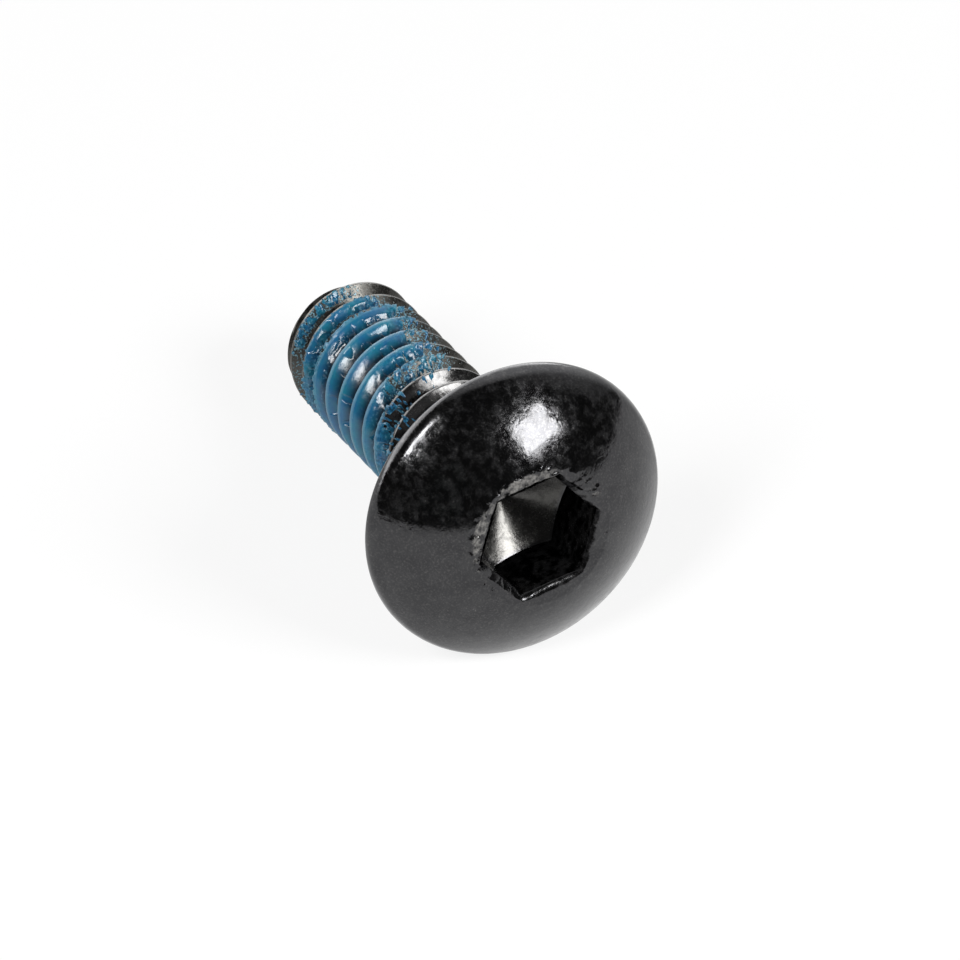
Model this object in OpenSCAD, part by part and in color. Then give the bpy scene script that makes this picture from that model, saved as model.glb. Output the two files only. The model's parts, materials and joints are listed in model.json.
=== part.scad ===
// Button head screw with a hex socket, lying on its side as it comes to rest.
// It is one forged and rolled piece. It is built along its own axis with the
// bearing face under the head at zero and the tip below it, and then laid down.

/* [Head] */
// Diameter of the head
head_d = 13.7; // [12:0.1:18]
// Height of the head over the bearing face
head_h = 3.1; // [2.6:0.1:4.5]
// Diameter of the flat round the socket
top_flat_d = 6.4; // [5.8:0.1:7.5]
// Rounding where the dome turns into the rim
crown_round = 0.9; // [0.4:0.05:1.3]
// Height of the straight band at the widest part
rim_band = 0.05; // [0.02:0.01:0.4]
// Rounding of the head's lower edge
rim_round = 0.15; // [0.1:0.05:0.4]

/* [Socket] */
// Key size, across the flats of the hex
hex_af = 4.76; // [4:0.01:5]
// Depth of the hex at its corners
hex_depth = 2.9; // [1.6:0.1:2.9]
// Angle across the conical floor
floor_angle = 120; // [118:1:160]
// Width of the worn lead-in on each flat
lead_in = 0.26; // [0.1:0.01:0.35]
// Depth of the lead-in
lead_in_depth = 0.3; // [0.1:0.05:0.6]
// Turn of the first corner from the top, towards the left seen from the head
hex_turn = 37; // [0:1:60]

/* [Thread] */
// Diameter over the crests
thread_d = 6.25; // [5.5:0.05:7]
// Distance between turns
thread_pitch = 1.27; // [0.8:0.01:1.5]
// Length under the head
length = 17.4; // [12:0.1:40]
// Turn of the thread about the axis
thread_turn = 4; // [0:1:360]

/* [Neck and tip] */
// Diameter of the plain neck
neck_d = 5.5; // [5.2:0.05:6]
// Length of the plain neck
neck_length = 1.6; // [1:0.1:4]
// Fillet under the head
neck_fillet = 0.4; // [0.2:0.05:0.8]
// Length over which the thread runs out into the neck
runout = 1.4; // [0.6:0.1:3]
// Diameter of the flat end
tip_d = 4.4; // [3.6:0.1:5]
// Angle of the tip's chamfer to the end face
tip_angle = 45; // [30:1:60]

/* [Hidden] */
$fn = 96;
steel = "#26272a";

// How far cutters reach past the faces they open
over = 0.5;
// How far the rolled end of the thread is let into the neck, and its gap there
thread_let_in = 0.4;
thread_seat = 0.15;

// Head: the dome is part of a ball through the edge of the top flat. The crown's
// rounding touches that ball from inside and the straight band below it, so the
// height of the ball's middle is the lower root of a quadratic.
head_r = head_d / 2;
top_r = top_flat_d / 2;
crown_r = head_r - crown_round;
crown_z = rim_round + rim_band;
crown_share = (head_h - crown_z) / crown_round;
top_gap = (pow(top_r, 2) + pow(head_h, 2) - pow(crown_r, 2) - pow(crown_z, 2)) / crown_round / 2 + crown_round / 2;
half_linear = head_h - crown_share * top_gap;
square_part = pow(crown_share, 2) - 1;
rest_part = pow(top_gap, 2) - pow(top_r, 2) - pow(head_h, 2);
dome_centre = -(half_linear + sqrt(pow(half_linear, 2) - square_part * rest_part)) / square_part;
dome_r = norm([top_r, head_h - dome_centre]);
shoulder_r = crown_r * dome_r / (dome_r - crown_round);

// Socket: corner radius of the hex, and the cone that ends it
hex_r = hex_af / sqrt(3);
lead_h = lead_in_depth + over;
lead_r = (hex_af + 2 * lead_in * lead_h / lead_in_depth) / sqrt(3);
floor_fall = hex_r / tan(floor_angle / 2);
hex_floor = head_h - hex_depth;

// Thread: a sharp profile of 60 degrees, flat for an eighth of the pitch at the
// crest and a quarter at the root. One turn is cut into steps, and the profile's
// four corners fall on whole steps.
steps = 48;
step_rise = thread_pitch / steps;
corner_step = [0, 6, 21, 33];
corners = len(corner_step);
crest_r = thread_d / 2;
root_r = crest_r - thread_pitch * 5 / 16 * sqrt(3);
corner_r = [crest_r, crest_r, root_r, root_r];
tip_r = tip_d / 2;
tip_z = -length;
seat_r = neck_d / 2 - thread_seat;
seat_z = tip_z + step_rise * ceil((length - neck_length + thread_let_in) / step_rise);
turns_below = 2;
last = corners * (ceil((seat_z - tip_z) / thread_pitch) + turns_below + 1);

// Height of corner m of the profile at step i, half a step clear of the end face
function corner_z(i, m) =
    tip_z + step_rise * (i + 0.5 + corner_step[m % corners] + steps * (floor(m / corners) - turns_below));

// Radius there: held in by the tip's chamfer, and drawn into the neck at the top
function chamfered(r, z) = min(r, tip_r + (z - tip_z) / tan(tip_angle));
function run_share(z) = max(0, min(1, 1 + (z + neck_length) / runout));
function thread_r(m, z) =
    let (r = chamfered(corner_r[m % corners], z), share = run_share(z)) r + (seat_r - r) * share;

function thread_point(i, m) =
    let (z = corner_z(i, m), a = thread_turn + 360 * i / steps)
    z <= tip_z ? [tip_r * cos(a), tip_r * sin(a), tip_z]
    : z >= seat_z ? [seat_r * cos(a), seat_r * sin(a), seat_z]
    : let (r = thread_r(m, z)) [r * cos(a), r * sin(a), z];

// Place of a corner in the list of points. The corners past either end share
// that end's point, and the last step of a turn meets the first of the next.
function place(i, m) =
    i == steps ? place(0, m + corners)
    : corner_z(i, m) <= tip_z ? i * (last + 1)
    : m >= last || corner_z(i, m) >= seat_z ? i * (last + 1) + last
    : i * (last + 1) + m;

// Rest: the angle at which the rim of the head and the first edge of a crest that
// comes down to it touch one plane. Edges on the tip's chamfer count as they are.
down_step = steps * ((540 - thread_turn) % 360) / 360 + 0.5;
crest_edges = [for (turn = [0, 1], edge = [0, 1]) step_rise * (down_step + corner_step[edge] + steps * turn)];
function tilt_on(r, reach) =
    let (inward = head_r - rim_round - r, along = reach + rim_round)
    acos(-rim_round / norm([inward, along])) - atan2(along, inward);
rest_tilt = min([for (rise = crest_edges) tilt_on(chamfered(crest_r, tip_z + rise), length - rise)]);
rest_height = (head_r - rim_round) * cos(rest_tilt) - rim_round * sin(rest_tilt) + rim_round;
rest_middle = ((head_h - length) * cos(rest_tilt) + (top_r - tip_r) * sin(rest_tilt)) / 2;

// Half section of the head: ball, crown rounding, rim band and the rounded lower edge
module head_section() {
    intersection() {
        translate([0, dome_centre]) circle(dome_r);
        union() {
            translate([0, crown_z]) square([shoulder_r, head_h - crown_z]);
            translate([crown_r, crown_z]) intersection() {
                circle(crown_round);
                square(crown_round);
            }
            translate([0, rim_round]) square([head_r, rim_band]);
            translate([head_r - rim_round, rim_round]) circle(rim_round);
            square([head_r - rim_round, crown_z]);
        }
    }
}

// Half section of the neck, with the fillet that carries the head
module neck_section() {
    translate([0, -neck_length]) square([neck_d / 2, neck_length + over]);
    difference() {
        translate([0, -neck_fillet]) square([neck_d / 2 + neck_fillet, neck_fillet + rim_round]);
        translate([neck_d / 2 + neck_fillet, -neck_fillet]) circle(neck_fillet);
    }
}

// Rolled thread from the tip up into the neck
module thread() {
    points = [for (i = [0:steps - 1], m = [0:last]) thread_point(i, m)];
    halves = [
        for (i = [0:steps - 1], m = [0:last - 1], upper = [0, 1])
            upper == 1
                ? [place(i, m), place(i, m + 1), place(i + 1, m + 1)]
                : [place(i, m), place(i + 1, m + 1), place(i + 1, m)]
    ];
    sides = [for (f = halves) if (f[0] != f[1] && f[1] != f[2] && f[2] != f[0]) f];
    end_face = [for (i = [0:steps - 1]) i * (last + 1)];
    seat_face = [for (i = [steps - 1:-1:0]) i * (last + 1) + last];
    polyhedron(points, concat(sides, [end_face, seat_face]));
}

// What the key goes into: a hex with a conical floor and a worn lead-in
module socket() {
    intersection() {
        translate([0, 0, hex_floor - floor_fall]) cylinder(r = hex_r, h = hex_depth + floor_fall + over, $fn = 6);
        union() {
            translate([0, 0, hex_floor - floor_fall]) cylinder(r1 = 0, r2 = hex_r, h = floor_fall);
            translate([0, 0, hex_floor]) cylinder(r = hex_r, h = hex_depth + over);
        }
    }
    translate([0, 0, head_h - lead_in_depth]) cylinder(r1 = hex_r, r2 = lead_r, h = lead_h, $fn = 6);
}

module screw() {
    color(steel)
        translate([-rest_middle, 0, rest_height])
            rotate([0, 90 - rest_tilt, 0])
                rotate([0, 0, 180])
                    difference() {
                        union() {
                            rotate_extrude() head_section();
                            rotate_extrude() neck_section();
                            thread();
                        }
                        rotate([0, 0, hex_turn]) socket();
                    }
}

screw();
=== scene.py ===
"""Looks of a button head screw: black oxide steel with a dried locking coat on its thread.

Every size is in millimetres in the screw's own axes: x to the side that faces up
where it lies, z along the axis from the tip to the head, and zero at the bearing
face under the head. A Placement then carries the points into the row frame.
"""

import json
import logging
import math
from dataclasses import dataclass
from enum import Enum

import bpy
import numpy as np
from mathutils import Matrix


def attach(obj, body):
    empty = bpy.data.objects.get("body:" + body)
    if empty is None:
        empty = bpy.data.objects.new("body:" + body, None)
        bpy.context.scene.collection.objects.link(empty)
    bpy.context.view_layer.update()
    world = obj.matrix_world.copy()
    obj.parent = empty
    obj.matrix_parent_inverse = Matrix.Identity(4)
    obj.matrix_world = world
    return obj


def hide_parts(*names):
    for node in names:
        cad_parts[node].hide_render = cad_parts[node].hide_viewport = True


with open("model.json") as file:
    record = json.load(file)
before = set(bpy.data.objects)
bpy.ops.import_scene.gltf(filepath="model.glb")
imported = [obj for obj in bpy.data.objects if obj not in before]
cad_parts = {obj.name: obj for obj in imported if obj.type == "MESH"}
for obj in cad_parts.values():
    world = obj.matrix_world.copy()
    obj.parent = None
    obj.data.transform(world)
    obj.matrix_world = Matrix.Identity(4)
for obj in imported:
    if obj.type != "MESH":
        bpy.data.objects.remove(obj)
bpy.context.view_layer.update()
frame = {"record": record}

LOG = logging.getLogger("screw")
MM = 0.001
Array = np.ndarray
Links = dict[int | str, object]


def linear(colour: str) -> tuple[float, float, float, float]:
    """Turns an sRGB hex colour into linear RGBA.

    Args:
        colour: Six hex digits after a hash sign.

    Returns:
        The linear colour with an alpha of one.
    """
    parts = [int(colour[i:i + 2], 16) / 255 for i in (1, 3, 5)]
    return (*[c / 12.92 if c <= 0.04045 else ((c + 0.055) / 1.055) ** 2.4 for c in parts], 1.0)


def per_metre(size: float) -> float:
    """Gives the texture scale at which a pattern repeats about every size millimetres."""
    return 1 / (size * MM)


def smooth(share: Array) -> Array:
    """Eases a share held between 0 and 1 by t * t * (3 - 2 t)."""
    t = np.clip(share, 0.0, 1.0)
    return t * t * (3 - 2 * t)


def lattice_noise(points: Array, cell: float, seed: int) -> Array:
    """Smooth noise from 0 to 1 in space.

    Each corner of a cubic lattice gets a value from its whole coordinates, mixed by
    multiplying and shifting bits. A point blends the eight corners round it with
    eased weights.

    Args:
        points: Points in millimetres, with three coordinates on the last axis.
        cell: Edge of a lattice cell in millimetres.
        seed: Number that picks one pattern.

    Returns:
        One value for each point.
    """
    corner = np.floor(points / cell)
    share = smooth(points / cell - corner)
    corner = corner.astype(np.int64)
    total = np.zeros(points.shape[:-1])
    for step in np.ndindex(2, 2, 2):
        whole = (corner + step) * np.array([73856093, 19349663, 83492791])
        key = (whole[..., 0] ^ whole[..., 1] ^ whole[..., 2] ^ (seed * 97531)).astype(np.uint64)
        key = (key ^ (key >> np.uint64(33))) * np.uint64(0xFF51AFD7ED558CCD)
        key = (key ^ (key >> np.uint64(33))) * np.uint64(0xC4CEB9FE1A85EC53)
        value = (key >> np.uint64(11)) / 2.0 ** 53
        total += value * np.where(step, share, 1 - share).prod(-1)
    return total


def strip(here: Array, there: Array) -> Array:
    """Joins each row of points to the next with two triangles a cell.

    Args:
        here: Point numbers, a row for each place along the profile.
        there: The point one column further on for each of them.

    Returns:
        Triangles, three point numbers each, without those that have no area.
    """
    a, b, c, d = here[:-1], there[:-1], there[1:], here[1:]
    both = np.concatenate([np.stack([a, b, c], -1), np.stack([a, c, d], -1)]).reshape(-1, 3)
    lost = (both[:, 0] == both[:, 1]) | (both[:, 1] == both[:, 2]) | (both[:, 2] == both[:, 0])
    return both[~lost]


def add_node(
        tree: bpy.types.NodeTree, kind: str, inputs: Links | None = None, **settings: object) -> bpy.types.Node:
    """Adds a node with its settings, and links or sets its inputs.

    Args:
        tree: Node tree to add to.
        kind: Type name of the node.
        inputs: For each input, by name or number, an output to link or a value to set.
        settings: Properties of the node itself.

    Returns:
        The new node.
    """
    node = tree.nodes.new(kind)
    for name, value in settings.items():
        setattr(node, name, value)
    for key, value in (inputs or {}).items():
        if isinstance(value, bpy.types.NodeSocket):
            tree.links.new(value, node.inputs[key])
        else:
            node.inputs[key].default_value = value
    return node


def blank_material(name: str) -> tuple[bpy.types.Material, bpy.types.NodeTree]:
    """Makes a material whose node tree is empty.

    Args:
        name: Name of the material.

    Returns:
        The material and its node tree.
    """
    material = bpy.data.materials.new(name)
    material.use_nodes = True
    material.node_tree.nodes.clear()
    return material, material.node_tree


def mark(piece: bpy.types.Object, name: str, values: Array) -> None:
    """Stores one number for each point of a piece's mesh, for its material to read."""
    stored = piece.data.attributes.new(name, "FLOAT", "POINT")
    stored.data.foreach_set("value", values.astype(np.float32))


@dataclass(frozen=True)
class Placement:
    """Where the screw lies: the middle of its bearing face and its three axes."""

    origin: Array
    axes: Array

    @classmethod
    def from_record(cls, record: dict) -> "Placement":
        """Reads the place from the record's mounts.

        The socket's mount lies on the axis and points along it, and the bearing
        face's mount gives the height of that face along the axis.

        Args:
            record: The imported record.

        Returns:
            The screw's place in the row frame.
        """
        mounts = {m["name"]: m for m in record["mounts"]}
        top, along = (np.array(mounts["hex_socket"][k], float) for k in ("pos_m", "axis"))
        along = along / np.linalg.norm(along)
        bearing = np.array(mounts["under_head"]["pos_m"], float)
        up = np.array([0.0, 0.0, 1.0]) - along[2] * along
        up = up / np.linalg.norm(up)
        return cls(top - along * ((top - bearing) @ along), np.array([up, np.cross(along, up), along]))

    def carry(self, points: Array) -> Array:
        """Carries points in the screw's millimetres into the row frame's metres."""
        return self.origin + points * MM @ self.axes

    def make(self, name: str, points: Array, triangles: Array) -> bpy.types.Object:
        """Makes a mesh object that rides on the screw's only body.

        Args:
            name: Name of the piece.
            points: Its points in the screw's axes, in millimetres.
            triangles: Point numbers, three for each triangle, seen anticlockwise from outside.

        Returns:
            The object, at the origin with its place in its mesh.
        """
        used, renumbered = np.unique(triangles, return_inverse=True)
        mesh = bpy.data.meshes.new(name)
        mesh.from_pydata(self.carry(points[used]).tolist(), [], renumbered.reshape(-1, 3).tolist())
        mesh.shade_smooth()
        piece = bpy.data.objects.new(name, mesh)
        bpy.context.scene.collection.objects.link(piece)
        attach(piece, "root")
        LOG.info("%s: %d points, %d triangles", name, len(used), len(triangles))
        return piece


@dataclass(frozen=True)
class ScrewSizes:
    """Driving sizes of the screw in millimetres and degrees, as the part has them."""

    head_d: float = 13.7
    head_h: float = 3.1
    top_flat_d: float = 6.4
    crown_round: float = 0.9
    rim_band: float = 0.05
    rim_round: float = 0.15
    hex_af: float = 4.76
    hex_depth: float = 2.9
    floor_angle: float = 120.0
    lead_in: float = 0.26
    lead_in_depth: float = 0.3
    hex_turn: float = 37.0
    thread_d: float = 6.25
    thread_pitch: float = 1.27
    length: float = 17.4
    thread_turn: float = 4.0
    thread_start: float = 0.5 / 48
    neck_d: float = 5.5
    neck_length: float = 1.6
    neck_fillet: float = 0.4
    runout: float = 1.4
    tip_d: float = 4.4
    tip_angle: float = 45.0
    crest_rounding: float = 0.06

    @property
    def depth(self) -> float:
        """Depth of the thread: five sixteenths of the pitch times the root of three."""
        return self.thread_pitch * 5 / 16 * math.sqrt(3)

    def dome(self) -> tuple[float, float]:
        """Middle and radius of the ball that the dome is cut from.

        The ball passes through the edge of the top flat and holds the crown's rounding
        so that they touch from inside; its middle is the lower root of a quadratic.

        Returns:
            Height of the ball's middle and its radius, in millimetres.
        """
        top_r, crown_r = self.top_flat_d / 2, self.head_d / 2 - self.crown_round
        crown_z = self.rim_round + self.rim_band
        share = (self.head_h - crown_z) / self.crown_round
        gap = (top_r ** 2 + self.head_h ** 2 - crown_r ** 2 - crown_z ** 2) / self.crown_round
        gap = (gap + self.crown_round) / 2
        half, square = self.head_h - share * gap, share ** 2 - 1
        middle = -(half + math.sqrt(half ** 2 - square * (gap ** 2 - top_r ** 2 - self.head_h ** 2))) / square
        return middle, math.hypot(top_r, self.head_h - middle)

    def phase(self, turn: Array, z: Array) -> Array:
        """Counts turns of the thread's helix at a place on the shank; whole numbers are crest edges."""
        started = (turn - math.radians(self.thread_turn)) / (2 * math.pi) + self.thread_start
        return (z + self.length) / self.thread_pitch - started

    def crest_share(self, phase: Array) -> Array:
        """Gives how far a place is up the thread's flank.

        The profile is a trapezium: an eighth of the pitch at the crest, five
        sixteenths for each flank and a quarter at the root. A running mean rounds
        its corners.

        Args:
            phase: Turns of the helix.

        Returns:
            Zero at the root to one at the crest.
        """
        spread = np.linspace(-0.5, 0.5, 7) * self.crest_rounding
        at = (np.asarray(phase)[..., None] + spread) % 1.0
        return np.interp(at, [0, 2 / 16, 7 / 16, 11 / 16, 1], [1, 1, 0, 0, 1]).mean(-1)

    def thread_radius(self, turn: Array, z: Array) -> Array:
        """Radius of the bare thread.

        It is the profile between root and crest, held in by the tip's chamfer and
        drawn to the neck over the runout.

        Args:
            turn: Angle about the axis from the side that faces up, in radians.
            z: Height along the axis in millimetres.

        Returns:
            The radius in millimetres.
        """
        radius = self.thread_d / 2 - self.depth * (1 - self.crest_share(self.phase(turn, z)))
        chamfer = self.tip_d / 2 + (z + self.length) / math.tan(math.radians(self.tip_angle))
        radius = np.minimum(radius, chamfer)
        return radius + (self.neck_d / 2 - radius) * smooth(1 + (z + self.neck_length) / self.runout)


@dataclass(frozen=True)
class BlackOxideSteel:
    """Cold forged steel, blackened in hot salts and oiled.

    The eye gets a near black skin that mirrors the room at a twentieth of its
    brightness, with soft blotches in the gloss and patches that a thin film dulls.
    Where the punch has torn the skin round the socket, grey crumbs stand on it; the
    socket's floor and the thread are rubbed brighter; and grains of dried resin lie
    round the coat on the thread.
    """

    name: str = "black_oxide_steel"
    skin: str = "#323234"
    blotch: str = "#4e4e4f"
    crumb: str = "#918f8c"
    rubbed: str = "#51504d"
    resin: str = "#6d97a6"
    blotch_size: float = 1.1
    lump_size: float = 0.4
    grain_size: float = 0.15
    speck_size: float = 0.09

    def material(self) -> bpy.types.Material:
        """Builds the material; point attributes named torn, bare and dust mark where the skin changes."""
        made, tree = blank_material(self.name)
        place = add_node(tree, "ShaderNodeTexCoord").outputs["Object"]
        torn, bare, dust = (
            add_node(tree, "ShaderNodeAttribute", attribute_name=name).outputs["Fac"]
            for name in ("torn", "bare", "dust"))
        blotch, lump, grain, dots = (
            add_node(tree, "ShaderNodeTexNoise", {
                "Vector": place, "Scale": per_metre(size), "Detail": detail, "Roughness": 0.6}).outputs[0]
            for size, detail in ((self.blotch_size, 4.0), (self.lump_size, 2.0),
                                 (self.grain_size, 2.0), (self.speck_size, 1.0)))
        heap = add_node(tree, "ShaderNodeMath", {0: torn, 1: 0.8, 2: lump}, operation="MULTIPLY_ADD").outputs[0]
        crust = add_node(tree, "ShaderNodeMapRange", {0: heap, 1: 1.18, 2: 1.36, 3: 0.0, 4: 1.0}).outputs[0]
        uneven = add_node(tree, "ShaderNodeMapRange", {0: grain, 1: 0.38, 2: 0.62, 3: 0.25, 4: 1.0}).outputs[0]
        crumbs = add_node(tree, "ShaderNodeMath", {0: crust, 1: uneven}, operation="MULTIPLY").outputs[0]
        specks = add_node(tree, "ShaderNodeMapRange", {0: dots, 1: 0.5, 2: 0.8, 3: 0.0, 4: 0.18}).outputs[0]
        thick = add_node(tree, "ShaderNodeMath", {0: dust, 1: 0.2, 2: dots}, operation="MULTIPLY_ADD").outputs[0]
        grains = add_node(tree, "ShaderNodeMapRange", {0: thick, 1: 0.68, 2: 0.76, 3: 0.0, 4: 1.0}).outputs[0]
        resin = add_node(tree, "ShaderNodeMath", {0: grains, 1: dust}, operation="MULTIPLY").outputs[0]
        colour = linear(self.skin)
        for share, over in ((blotch, self.blotch), (bare, self.rubbed), (specks, self.crumb),
                            (crumbs, self.crumb), (resin, self.resin)):
            colour = add_node(tree, "ShaderNodeMix", {
                0: share, 6: colour, 7: linear(over)}, data_type="RGBA").outputs[2]
        film = add_node(tree, "ShaderNodeMapRange", {0: lump, 1: 0.44, 2: 0.64, 3: 1.0, 4: 0.9}).outputs[0]
        metal = add_node(tree, "ShaderNodeMath", {0: film, 1: resin}, operation="SUBTRACT").outputs[0]
        rough = add_node(tree, "ShaderNodeMapRange", {0: blotch, 1: 0.35, 2: 0.65, 3: 0.07, 4: 0.15}).outputs[0]
        dull = add_node(tree, "ShaderNodeMapRange", {0: lump, 1: 0.48, 2: 0.64, 3: 0.0, 4: 1.0}).outputs[0]
        for share, more in ((crust, 0.3), (specks, 0.4), (dull, 0.09), (bare, 0.14), (dust, 0.12)):
            rough = add_node(tree, "ShaderNodeMath", {
                0: share, 1: more, 2: rough}, operation="MULTIPLY_ADD").outputs[0]
        lumpy = add_node(tree, "ShaderNodeMath", {0: torn, 1: 0.8, 2: 0.06}, operation="MULTIPLY_ADD").outputs[0]
        wavy = add_node(tree, "ShaderNodeMath", {0: bare, 1: -0.22, 2: 0.24}, operation="MULTIPLY_ADD").outputs[0]
        normal = add_node(tree, "ShaderNodeBump", {
            "Strength": 0.5, "Distance": 0.03 * MM, "Height": blotch}).outputs[0]
        for strength, depth, height in ((wavy, 0.025, lump), (lumpy, 0.03, grain), (dust, 0.05, grains)):
            normal = add_node(tree, "ShaderNodeBump", {
                "Strength": strength, "Distance": depth * MM, "Height": height, "Normal": normal}).outputs[0]
        shader = add_node(tree, "ShaderNodeBsdfPrincipled", {
            "Base Color": colour, "Metallic": metal, "Roughness": rough, "Normal": normal})
        add_node(tree, "ShaderNodeOutputMaterial", {"Surface": shader.outputs[0]})
        return made


@dataclass(frozen=True)
class DriedThreadLocker:
    """Anaerobic acrylic resin, brushed on wet and dried to a tough film.

    The eye gets an opaque blue that goes teal in clouds, with painted shade that
    darkens it down in the thread's roots, pale where it is worn along the crests, and
    a semi-gloss wavy skin that breaks into dark and pale granules along its fringe.
    """

    name: str = "dried_blue_thread_locker"
    # Colour of the painted shade in the thread's roots, and of the dark granules along the fringe.
    root: str = "#0a2231"
    film: str = "#1e5f88"
    teal: str = "#1e7089"
    crest: str = "#6699ac"
    cloud_size: float = 0.9
    flake_size: float = 0.14

    def material(self) -> bpy.types.Material:
        """Builds the material; point attributes give the rise from root to crest and how near the fringe is."""
        made, tree = blank_material(self.name)
        place = add_node(tree, "ShaderNodeTexCoord").outputs["Object"]
        rise, fringe = (
            add_node(tree, "ShaderNodeAttribute", attribute_name=name).outputs["Fac"]
            for name in ("rise", "fringe"))
        cloud, flake = (
            add_node(tree, "ShaderNodeTexNoise", {
                "Vector": place, "Scale": per_metre(size), "Detail": 3.0, "Roughness": 0.6}).outputs[0]
            for size in (self.cloud_size, self.flake_size))
        clouds = add_node(tree, "ShaderNodeMapRange", {0: cloud, 1: 0.42, 2: 0.62, 3: 0.0, 4: 1.0}).outputs[0]
        # Painted shade: the colour darkens towards the thread's roots, where the next crest shades the flank.
        root_shade = add_node(tree, "ShaderNodeMapRange", {0: rise, 1: 0.85, 2: 0.3, 3: 0.0, 4: 1.0}).outputs[0]
        worn = add_node(tree, "ShaderNodeMapRange", {0: rise, 1: 0.9, 2: 1.0, 3: 0.0, 4: 0.35}).outputs[0]
        hollows, tops = (
            add_node(tree, "ShaderNodeMapRange", {0: flake, 1: start, 2: end, 3: 0.0, 4: 0.8}).outputs[0]
            for start, end in ((0.5, 0.4), (0.56, 0.66)))
        dark, pale = (
            add_node(tree, "ShaderNodeMath", {0: fringe, 1: share}, operation="MULTIPLY").outputs[0]
            for share in (hollows, tops))
        colour = linear(self.film)
        for share, over in ((clouds, self.teal), (root_shade, self.root), (worn, self.crest),
                            (dark, self.root), (pale, self.crest)):
            colour = add_node(tree, "ShaderNodeMix", {
                0: share, 6: colour, 7: linear(over)}, data_type="RGBA").outputs[2]
        rough = add_node(tree, "ShaderNodeMapRange", {0: flake, 1: 0.3, 2: 0.7, 3: 0.13, 4: 0.24}).outputs[0]
        rough = add_node(tree, "ShaderNodeMath", {0: worn, 1: 0.6, 2: rough}, operation="MULTIPLY_ADD").outputs[0]
        soft = add_node(tree, "ShaderNodeBump", {"Strength": 0.3, "Distance": 0.04 * MM, "Height": cloud})
        fine = add_node(tree, "ShaderNodeBump", {
            "Strength": 0.25, "Distance": 0.015 * MM, "Height": flake, "Normal": soft.outputs[0]})
        shader = add_node(tree, "ShaderNodeBsdfPrincipled", {
            "Base Color": colour, "Roughness": rough, "Normal": fine.outputs[0]})
        add_node(tree, "ShaderNodeOutputMaterial", {"Surface": shader.outputs[0]})
        return made


@dataclass(frozen=True)
class CoatEdge:
    """Where the locking coat ends: borders in degrees of turn and in millimetres along the axis."""

    sizes: ScrewSizes
    upper: float = -8.0
    upper_at: float = -8.0
    slant: float = 3.2
    tip_turn: float = 46.0
    tip_turn_from: float = -14.2
    lower: float = 146.0
    head_side: float = -6.0
    head_loose: float = 1.8
    lifted: float = 2.7
    lifted_to: float = 75.0
    tip_side: float = -13.4
    flank_reach: float = 2.5
    flank_middle: float = 0.21
    flank_half: float = 0.14
    flank_ease: float = 0.06
    fade_from: float = 50.0
    fade_over: float = 35.0

    def inside(self, turn: Array, z: Array) -> Array:
        """Least distance to the coat's four borders, in millimetres, positive inside.

        The upper border slants along the thread and falls back at the tip. Towards the
        head the border falls back where the brush was lifted, and its distance is
        shortened, which loosens the fringe. Near the tip only the flanks that face the
        head are coated, so that border lies further on there.

        Args:
            turn: Angles in radians.
            z: Heights in millimetres.

        Returns:
            The distance at each place.
        """
        s = self.sizes
        turn = (turn + math.pi) % (2 * math.pi) - math.pi
        degrees = np.degrees(turn)
        from_flank = np.abs((s.phase(turn, z) + 0.5 - self.flank_middle) % 1 - 0.5)
        flank = smooth((self.flank_half - from_flank) / self.flank_ease)
        flank = flank * (1 - 0.5 * smooth((degrees - self.fade_from) / self.fade_over))
        head = self.head_side - self.lifted * smooth(1 - degrees / self.lifted_to) - z
        head = head / self.head_loose
        tip = z - self.tip_side + self.flank_reach * flank
        upper = self.upper + self.slant * (z - self.upper_at) + self.tip_turn * smooth(self.tip_turn_from - z)
        upper = s.thread_d / 2 * np.radians(degrees - upper)
        lower = s.thread_d / 2 * np.radians(self.lower - degrees)
        return np.minimum(np.minimum(head, tip), np.minimum(upper, lower))


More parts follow.
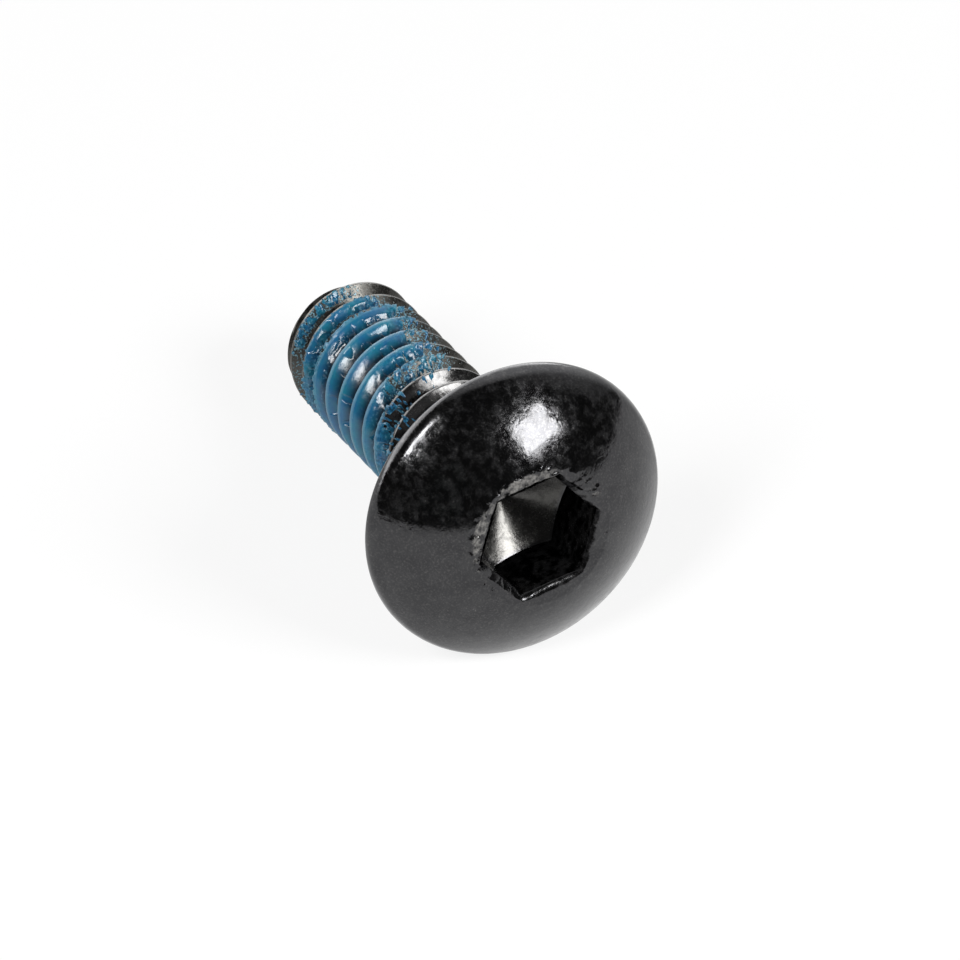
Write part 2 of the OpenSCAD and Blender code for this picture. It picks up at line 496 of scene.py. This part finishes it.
@dataclass(frozen=True)
class SteelScrew:
    """The whole steel screw as one closed skin of rings about its axis."""

    sizes: ScrewSizes
    place: Placement
    coat: CoatEdge
    columns: int = 264
    rows_per_pitch: int = 16
    tip_dish: float = 0.15
    edge_wander: float = 0.09
    edge_bow: float = 0.07
    worn_bow: float = 0.16
    worn_turn: float = -142.7
    torn_turn: float = 25.0
    dust_reach: float = 2.3
    dust_high: float = -6.9
    dust_over: float = 1.2
    rubbed_high: float = -2.2
    rubbed_over: float = 1.5
    rubbed_more: float = -7.2
    sharp_angle: float = 32.0

    def tip_rings(self, turn: Array) -> tuple[Array, Array]:
        """Rings of the end face, from its middle out.

        The radius grows evenly, and the height follows a shallow dish that falls
        with the square of the radius.

        Args:
            turn: Angles of the columns.

        Returns:
            Radius and height, a row for each ring.
        """
        share = np.linspace(0, 1, 8)[:, None] + 0 * turn
        return share * self.sizes.tip_d / 2, -self.sizes.length + self.tip_dish * (1 - smooth(share * 1.1))

    def thread_rows(self, turn: Array) -> tuple[Array, Array]:
        """Rows that climb with the helix, each at one place of the thread's profile.

        The height is the tip's plus a pitch for each turn, counted along the row's
        own profile place and the column's angle; the radius is the thread's there.

        Args:
            turn: Angles of the columns.

        Returns:
            Radius and height, a row for each place; some lie past either end.
        """
        s = self.sizes
        turns = math.ceil((s.length - s.neck_length) / s.thread_pitch) + 4
        place = np.arange(turns * self.rows_per_pitch)[:, None] / self.rows_per_pitch - 2
        started = (turn - math.radians(s.thread_turn)) / (2 * math.pi) + s.thread_start
        z = -s.length + s.thread_pitch * (place + started)
        return s.thread_radius(turn, z), z

    def head_rings(self, turn: Array) -> tuple[Array, Array, Array, Array]:
        """Rings from the neck round the head and down into the socket.

        The outside is a chain of lines and arcs: neck, fillet, bearing face, lower
        rounding, crown rounding, ball and flat. Inside, the radius is that of a
        hexagon, its half width over the cosine of the angle to the nearest flat, and
        the floor is a cone. The lead-in is straight, and on its worn side a quarter
        ellipse; its edge wanders with noise and bows out between the corners.

        Args:
            turn: Angles of the columns.

        Returns:
            Radius, height, how torn the skin is and how bare, a row for each ring.
        """
        s = self.sizes
        head_r, top_r, neck_r = s.head_d / 2, s.top_flat_d / 2, s.neck_d / 2
        crown_r, crown_z = head_r - s.crown_round, s.rim_round + s.rim_band
        ball_z, ball_r = s.dome()
        crown_angle = math.atan2(crown_z - ball_z, crown_r)
        top_angle = math.atan2(s.head_h - ball_z, top_r)

        def arc(r: float, z: float, radius: float, start: float, end: float, count: int) -> Array:
            """Points of an arc about (r, z) from one angle to another."""
            at = np.linspace(start, end, count)
            return np.stack([r + radius * np.cos(at), z + radius * np.sin(at)], -1)

        outline = np.concatenate([
            np.stack([np.full(3, neck_r), np.linspace(-s.neck_length, -s.neck_fillet, 4)[:3]], -1),
            arc(neck_r + s.neck_fillet, -s.neck_fillet, s.neck_fillet, math.pi, math.pi / 2, 7),
            np.stack([np.linspace(neck_r + s.neck_fillet, head_r - s.rim_round, 8)[1:7], np.zeros(6)], -1),
            arc(head_r - s.rim_round, s.rim_round, s.rim_round, -math.pi / 2, 0, 7),
            arc(crown_r, crown_z, s.crown_round, 0, crown_angle, 14),
            arc(0, ball_z, ball_r, crown_angle, top_angle, 52)[1:],
        ])
        spread = 0 * turn
        apothem = s.hex_af / 2
        from_flat = (turn - math.radians(s.hex_turn)) % (math.pi / 3) - math.pi / 6
        corner = np.cos(from_flat)
        ring = np.stack([np.cos(turn), np.sin(turn), spread], -1) * apothem
        wander = (lattice_noise(ring, 0.5, 3) - 0.5) + 0.6 * (lattice_noise(ring, 0.2, 4) - 0.5)
        worn = smooth(1.6 * np.cos(turn - math.radians(self.worn_turn)) - 0.35)
        bow = (self.edge_bow + self.worn_bow * worn) * (1 - (from_flat / (math.pi / 6)) ** 2)
        wall = apothem / corner
        edge = (apothem + s.lead_in + self.edge_wander * wander) / corner + bow
        inward = np.linspace(0, 1, 9)[1:, None]
        flat_r = np.maximum(top_r, edge + 0.05) + (edge - np.maximum(top_r, edge + 0.05)) * inward
        flat_z = s.head_h + 0 * flat_r
        even = np.linspace(0, 1, 9)[1:, None]
        lead_r = edge + (wall - edge) * (even + worn * (np.sin(even * math.pi / 2) - even))
        lead_z = s.head_h - s.lead_in_depth * (even + worn * (1 - np.cos(even * math.pi / 2) - even))
        slope = 1 / math.tan(math.radians(s.floor_angle / 2))
        apex = s.head_h - s.hex_depth - s.hex_af / math.sqrt(3) * slope
        down = np.linspace(0, 1, 9)[1:, None]
        wall_z = lead_z[-1] + (apex + wall * slope - lead_z[-1]) * down
        across = np.linspace(1, 0, 15)[1:, None]
        radius = np.concatenate([
            outline[:, :1] + spread, flat_r, lead_r, wall + 0 * down, wall * across])
        height = np.concatenate([
            outline[:, 1:] + spread, flat_z, lead_z, wall_z, apex + wall * across * slope])
        top = smooth((top_r + 0.3 - outline[:, :1]) / 0.3) * (outline[:, 1:] > crown_z + s.crown_round)
        heavy = 0.55 + 0.35 * np.cos(turn - math.radians(self.torn_turn))
        heavy = np.clip(heavy + 0.7 * (lattice_noise(ring, 0.9, 7) - 0.5), 0, 1)
        torn = np.concatenate([top, 1 + 0 * inward, 1 - smooth(4 * even), 0 * down, 0 * across]) * heavy
        bare = np.concatenate([0 * top, 0 * inward, 0 * even, 0 * down, 0.7 + 0 * across]) + spread
        return radius, height, torn, bare

    def roughen(self, points: Array, torn: Array) -> Array:
        """Lifts the torn skin along the axis by noise of two sizes, a tenth of a millimetre at most."""
        rough = (lattice_noise(points, 0.3, 5) - 0.6) + 0.8 * (lattice_noise(points, 0.14, 6) - 0.5)
        return points + np.stack([0 * torn, 0 * torn, 0.1 * torn * rough], -1)

    def build(self) -> bpy.types.Object:
        """Joins end face, thread and head into one skin that stands for the CAD node.

        Thread rows that lie past the tip share the end face's last ring, and those
        past the neck the head's first. Where a column closes a turn, it meets the
        row one pitch higher.

        Returns:
            The screw's object.
        """
        s = self.sizes
        turn = np.arange(self.columns) * 2 * math.pi / self.columns + math.radians(s.hex_turn)
        tip_r, tip_z = self.tip_rings(turn)
        head_r, head_z, torn, bare = self.head_rings(turn)
        thread_r, thread_z = self.thread_rows(turn)
        radius, height = np.concatenate([tip_r, head_r, thread_r]), np.concatenate([tip_z, head_z, thread_z])
        dust = smooth((self.dust_high - thread_z) / self.dust_over)
        dust = dust * smooth(1 + self.coat.inside(turn, thread_z) / self.dust_reach)
        rubbed = smooth((self.rubbed_high - thread_z) / self.rubbed_over)
        rubbed = rubbed * (0.3 + 0.7 * smooth(self.rubbed_more - thread_z))
        torn, bare, dust = (np.concatenate(rows) for rows in (
            (0 * tip_r, torn, 0 * thread_r), (0 * tip_r, bare, rubbed), (0 * tip_r, 0 * head_r, dust)))
        number = np.arange(radius.size).reshape(radius.shape)
        tip, head, thread = np.split(number, [len(tip_r), len(tip_r) + len(head_r)])
        tip[0], head[-1] = tip[0, 0], head[-1, 0]
        thread = np.where(thread_z <= -s.length, tip[-1], thread)
        thread = np.where(thread_z >= -s.neck_length, head[0], thread)
        beyond = np.append(thread[self.rows_per_pitch:, 0], np.full(self.rows_per_pitch, head[0, 0]))
        triangles = np.concatenate([
            strip(tip, np.roll(tip, -1, 1)),
            strip(thread, np.column_stack([thread[:, 1:], beyond])),
            strip(head, np.roll(head, -1, 1)),
        ])
        points = np.stack([radius * np.cos(turn), radius * np.sin(turn), height], -1)
        points = self.roughen(points, torn).reshape(-1, 3)
        piece = self.place.make("screw_steel", points, triangles)
        piece.data.set_sharp_from_angle(angle=math.radians(self.sharp_angle))
        for name, values in (("torn", torn), ("bare", bare), ("dust", dust)):
            mark(piece, name, values.ravel()[np.unique(triangles)])
        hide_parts("screw")
        return piece

    def dress(self, piece: bpy.types.Object, finish: BlackOxideSteel) -> None:
        """Gives the screw its black finish."""
        piece.data.materials.append(finish.material())


@dataclass(frozen=True)
class LockingCoat:
    """The dried coat on one side of the thread: a closed body whose skin rises from the steel where it holds."""

    sizes: ScrewSizes
    place: Placement
    edge: CoatEdge
    start: float = -45.0
    end: float = 158.0
    low: float = -16.4
    high: float = -5.2
    columns: int = 345
    rows: int = 275
    film: float = 0.04
    sunk: float = 0.07
    ripple: float = 0.52
    bulge: float = 1.3
    lumps: float = 0.025
    crumbs: float = 0.12
    crumb_reach: float = 0.5
    fringe: float = 0.9
    flake_reach: float = 0.8
    fill_reach: float = 0.6

    def cover(self, inside: Array, turn: Array, z: Array) -> Array:
        """How firmly the coat holds at each place.

        The distance to the border is moved in and out by noise of three sizes, which
        dies away inside, so that the film breaks into flakes along its fringe. A few
        long pits stay open in the roots.

        Args:
            inside: Distance to the border in millimetres.
            turn: Angles in radians.
            z: Heights in millimetres.

        Returns:
            Zero where the steel is bare to one where the film is whole.
        """
        s = self.sizes
        arc = s.thread_d / 2
        skin = np.stack([arc * np.cos(turn), arc * np.sin(turn), z], -1)
        flakes = (0.6 * lattice_noise(skin, 0.7, 11) + 1.2 * lattice_noise(skin, 0.3, 12)
                  + 2.6 * lattice_noise(skin, 0.13, 13) - 2.2)
        hold = inside / self.fringe + flakes * np.exp(-np.maximum(inside, 0) / self.flake_reach)
        pits = smooth((lattice_noise(skin * [1, 1, 1.5], 0.6, 14) - 0.74) / 0.04)
        return smooth(hold / 0.25 + 0.5) * (1 - pits * (1 - s.crest_share(s.phase(turn, z))))

    def build(self) -> bpy.types.Object:
        """Raises the coat over the thread.

        The skin is a grid over angle and height. Inside its borders the coat fills the
        thread to a shallower ripple along the helix, with a long bulging slope towards
        the head and lumps of noise; near them it is a lumpy film on the bare thread.
        Where it doesn't hold, the skin is sunk into the steel. Inside the steel a flat
        strip between the first and last column and a fan at each end close it.

        Returns:
            The coat's object.
        """
        s = self.sizes
        angles = np.radians(np.linspace(self.start, self.end, self.columns))
        heights = np.linspace(self.low, self.high, self.rows)
        turn, z = np.meshgrid(angles, heights)
        bare = s.thread_radius(turn, z)
        inside = self.edge.inside(turn, z)
        cover = self.cover(inside, turn, z)
        fall = np.interp(s.phase(turn, z) % 1, [0, 0.1, 0.585, 0.64, 1], [0, 0, 1, 1, 0])
        rise = 1 - fall ** self.bulge
        skin = np.stack([bare * np.cos(turn), bare * np.sin(turn), z], -1)
        lumps = (lattice_noise(skin, 0.6, 15) - 0.5) + 0.15 * (lattice_noise(skin, 0.2, 16) - 0.5)
        wave = s.thread_d / 2 - self.ripple * (1 - rise) + self.lumps * lumps
        depth = np.maximum(inside, 0)
        filled = np.maximum(wave - bare, 0) * smooth(inside / self.fill_reach)
        filled = filled + self.crumbs * lattice_noise(skin, 0.17, 17) * np.exp(-depth / self.crumb_reach)
        radius = bare - self.sunk + cover * (filled + self.film + self.sunk)
        points = np.stack([radius * np.cos(turn), radius * np.sin(turn), z], -1).reshape(-1, 3)
        number = np.arange(radius.size).reshape(radius.shape)
        back = strip(number[:, -1:], number[:, :1])
        last = self.columns - 1
        fan = np.stack([np.full(last - 1, 0), np.arange(2, last + 1), np.arange(1, last)], -1)
        ends = np.concatenate([number[0][fan], number[-1][fan[:, [0, 2, 1]]]])
        triangles = np.concatenate([strip(number[:, :-1], number[:, 1:]), back, ends])
        piece = self.place.make("locking_coat", points, triangles)
        for name, values in (("rise", rise), ("fringe", np.exp(-depth / self.fill_reach))):
            mark(piece, name, values.ravel()[np.unique(triangles)])
        return piece

    def dress(self, piece: bpy.types.Object, finish: DriedThreadLocker) -> None:
        """Gives the coat its blue finish."""
        piece.data.materials.append(finish.material())


class Lamp(Enum):
    """The soft lamps: azimuth right of the camera, elevation, width, height and radiance of each."""

    LEFT = (-41.0, 48.0, 0.118, 0.21, 22.0)
    RIGHT = (61.5, 38.5, 0.215, 0.155, 17.0)


@dataclass(frozen=True)
class Studio:
    """White sweep, soft lamps and the photograph's camera."""

    place: Placement
    azimuth: float = 63.935
    elevation: float = 43.018
    distance: float = 391.4
    frame_width: float = 40.934
    aim_height: float = 0.36
    aim_right: float = 1.42
    aim_down: float = 1.271
    sensor: float = 36.0
    lamp_distance: float = 0.5
    floor_colour: str = "#f2f2f2"
    room: str = "#444444"
    floor_level: float = 1.04
    floor_share: float = 0.8
    wall: float = 7.0
    wall_fall: float = 0.35
    wall_turn: float = -145.0
    tent: float = 1.6
    tent_faces: tuple[float, float, float] = (-0.77, 0.28, 0.574)

    def towards(self, right: float, elevation: float) -> Array:
        """Unit vector from the screw to a place that many degrees right of the camera and up."""
        a, e = math.radians(self.azimuth + right), math.radians(elevation)
        return np.array([math.sin(a) * math.cos(e), -math.cos(a) * math.cos(e), math.sin(e)])

    def turn_to(self, thing: bpy.types.Object, back: Array) -> None:
        """Turns a camera or lamp so that its own z axis points along back, with z upright."""
        right = np.cross([0, 0, 1], back)
        right = right / np.linalg.norm(right)
        thing.rotation_mode = "QUATERNION"
        basis = np.column_stack([right, np.cross(back, right), back])
        thing.rotation_quaternion = Matrix(basis.tolist()).to_quaternion()

    def camera(self) -> None:
        """Sets up the camera from the photograph's viewing angle and framing."""
        back = self.towards(0, self.elevation)
        right = np.cross([0, 0, 1], back)
        right = right / np.linalg.norm(right)
        upward = np.cross(back, right)
        aim = self.place.carry(np.array([0, 0, self.aim_height]))
        shift = -right * self.aim_right + upward * self.aim_down
        data = bpy.data.cameras.new("photo_camera")
        data.sensor_width = self.sensor
        data.lens = self.sensor * self.distance / self.frame_width
        data.clip_start, data.clip_end = 0.01, 10.0
        thing = bpy.data.objects.new("photo_camera", data)
        thing.location = aim + (back * self.distance + shift) * MM
        self.turn_to(thing, back)
        bpy.context.scene.collection.objects.link(thing)
        bpy.context.scene.camera = thing

    def lamps(self) -> None:
        """Hangs the soft lamps; a lamp's power is its radiance times its area and pi."""
        for lamp in Lamp:
            right, elevation, width, height, radiance = lamp.value
            data = bpy.data.lights.new(f"softbox_{lamp.name.lower()}", "AREA")
            data.shape, data.size, data.size_y = "RECTANGLE", width, height
            data.energy = radiance * math.pi * width * height
            thing = bpy.data.objects.new(data.name, data)
            back = self.towards(right, elevation)
            thing.location = self.place.origin + back * self.lamp_distance
            self.turn_to(thing, back)
            bpy.context.scene.collection.objects.link(thing)

    def sweep(self) -> None:
        """Lays the white floor that curves up behind the screw and on its left.

        The profile runs level, round a quarter circle and up; it is carried straight
        across. The wall is lit brighter than the floor, less so towards its top.
        """
        bend = np.linspace(0, math.pi / 2, 13)
        near, far, radius, top, half = -1.0, 0.35, 0.3, 0.5, 0.8
        along = np.concatenate([[near], far + radius * np.sin(bend), [far + radius]])
        rise = np.concatenate([[0.0], radius * (1 - np.cos(bend)), [top]])
        away = self.towards(self.wall_turn, 0)
        across = np.array([-away[1], away[0], 0.0])
        line = along[:, None] * away + rise[:, None] * np.array([0, 0, 1.0])
        points = np.concatenate([line + across * half, line - across * half])
        count = len(line)
        first = np.arange(count - 1)
        faces = np.stack([first, first + count, first + count + 1, first + 1], -1)
        mesh = bpy.data.meshes.new("sweep")
        mesh.from_pydata(points.tolist(), [], faces.tolist())
        mesh.shade_smooth()
        material, tree = blank_material("white_paper")
        paper = add_node(tree, "ShaderNodeBsdfDiffuse", {"Color": linear(self.floor_colour)})
        place = add_node(tree, "ShaderNodeTexCoord").outputs["Object"]
        rise = add_node(tree, "ShaderNodeSeparateXYZ", {0: place}).outputs["Z"]
        lit = add_node(tree, "ShaderNodeMapRange", {
            0: rise, 1: 0.01, 2: 0.08, 3: self.floor_level, 4: self.wall}).outputs[0]
        fall = add_node(tree, "ShaderNodeMapRange", {
            0: rise, 1: 0.15, 2: top, 3: 1.0, 4: self.wall_fall}).outputs[0]
        level = add_node(tree, "ShaderNodeMath", {0: lit, 1: fall}, operation="MULTIPLY").outputs[0]
        white = add_node(tree, "ShaderNodeEmission", {"Color": (1.0, 1.0, 1.0, 1.0), "Strength": level})
        share = add_node(tree, "ShaderNodeMath", {0: self.seen(tree), 1: self.floor_share}, operation="MULTIPLY")
        shader = add_node(tree, "ShaderNodeMixShader", {
            0: share.outputs[0], 1: paper.outputs[0], 2: white.outputs[0]})
        add_node(tree, "ShaderNodeOutputMaterial", {"Surface": shader.outputs[0]})
        mesh.materials.append(material)
        thing = bpy.data.objects.new("sweep", mesh)
        bpy.context.scene.collection.objects.link(thing)

    def seen(self, tree: bpy.types.NodeTree) -> bpy.types.NodeSocket:
        """Adds nodes that give one for what the camera sees, straight, mirrored or through glass."""
        rays = add_node(tree, "ShaderNodeLightPath").outputs
        both = add_node(tree, "ShaderNodeMath", {
            0: rays["Is Camera Ray"], 1: rays["Is Glossy Ray"]}, operation="MAXIMUM").outputs[0]
        return add_node(tree, "ShaderNodeMath", {
            0: both, 1: rays["Is Transmission Ray"]}, operation="MAXIMUM").outputs[0]

    def world(self) -> None:
        """Sets a white tent behind the screw and to its right, and leaves the rest of the room dim."""
        world = bpy.data.worlds.new("tent_and_dim_room")
        world.use_nodes = True
        tree = world.node_tree
        tree.nodes.clear()
        forward, right, up = self.towards(0, 0), self.towards(90, 0), np.array([0, 0, 1.0])
        faces = sum(share * axis for share, axis in zip(self.tent_faces, (forward, right, up)))
        way = add_node(tree, "ShaderNodeTexCoord").outputs["Generated"]
        side = add_node(tree, "ShaderNodeVectorMath", {0: way, 1: faces}, operation="DOT_PRODUCT").outputs["Value"]
        tent = add_node(tree, "ShaderNodeMapRange", {0: side, 1: 0.6, 2: 0.95, 3: 0.0, 4: self.tent}).outputs[0]
        shown = add_node(tree, "ShaderNodeMath", {0: tent, 1: self.seen(tree)}, operation="MULTIPLY").outputs[0]
        dim = add_node(tree, "ShaderNodeBackground", {"Color": linear(self.room)})
        white = add_node(tree, "ShaderNodeBackground", {"Color": (1.0, 1.0, 1.0, 1.0), "Strength": shown})
        light = add_node(tree, "ShaderNodeAddShader", {0: dim.outputs[0], 1: white.outputs[0]})
        add_node(tree, "ShaderNodeOutputWorld", {"Surface": light.outputs[0]})
        bpy.context.scene.world = world


def main() -> None:
    """Builds the screw, its coat and the studio in order."""
    logging.basicConfig(level=logging.INFO, format="%(name)s %(message)s")
    sizes = ScrewSizes()
    place = Placement.from_record(frame["record"])
    edge = CoatEdge(sizes)
    steel = SteelScrew(sizes, place, edge)
    steel.dress(steel.build(), BlackOxideSteel())
    coat = LockingCoat(sizes, place, edge)
    coat.dress(coat.build(), DriedThreadLocker())
    studio = Studio(place)
    studio.sweep()
    studio.lamps()
    studio.world()
    studio.camera()
    bpy.context.scene.view_settings.view_transform = "Standard"


if __name__ == "__main__":
    main()
